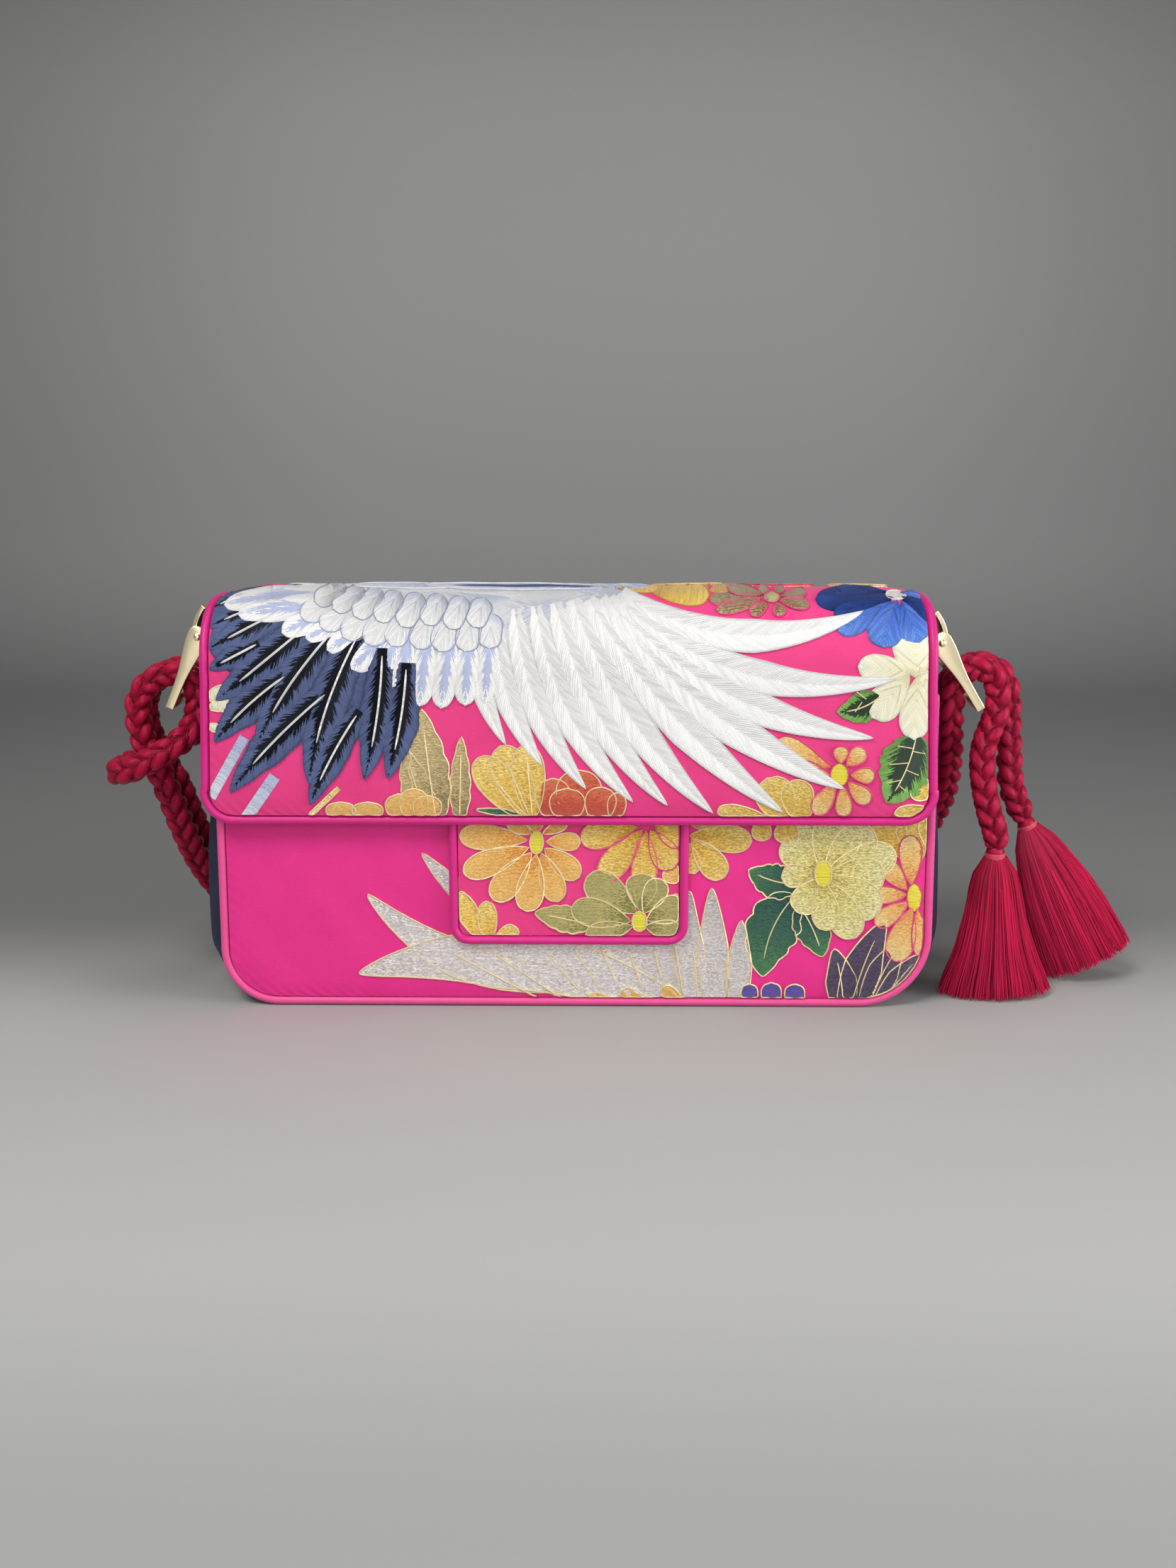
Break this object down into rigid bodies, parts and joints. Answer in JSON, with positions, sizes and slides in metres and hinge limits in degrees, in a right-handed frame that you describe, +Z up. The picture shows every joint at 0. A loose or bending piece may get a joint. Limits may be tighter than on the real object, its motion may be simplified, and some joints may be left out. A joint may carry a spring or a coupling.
{
  "type": "baguette bag",
  "caption": "Soft silk baguette bag with a padded wrap-over flap, a closing tab, piped seams, hinged stirrups and a doubled braided cord ending in tassels.",
  "frame": {"origin": "on the ground under the middle of the body", "axes": "+Z up, +X towards the end with the tassels, -Y the way the front faces"},
  "size_m": [0.398, 0.1374, 0.1554],
  "materials": {
    "silk": "crepe silk with raised embroidery",
    "piping": "silk over cord",
    "gusset_cloth": "woven silk",
    "cord_silk": "satin braid and silk threads",
    "gilt": "polished pale gold"
  },
  "bodies": {
    "root": {"front_panel": "silk", "back_panel": "silk", "gusset": "gusset_cloth", "front_piping": "piping", "back_piping": "piping", "flap": "silk", "flap_piping": "piping", "tab": "silk", "tab_piping": "piping", "bracket_left": "gilt", "bracket_right": "gilt", "stirrup_left": "gilt", "stirrup_right": "gilt", "pin_left": "gilt", "pin_right": "gilt", "strand_front": "cord_silk", "strand_back": "cord_silk", "tassel_front": "cord_silk", "tassel_back": "cord_silk"}
  },
  "joints": []
}
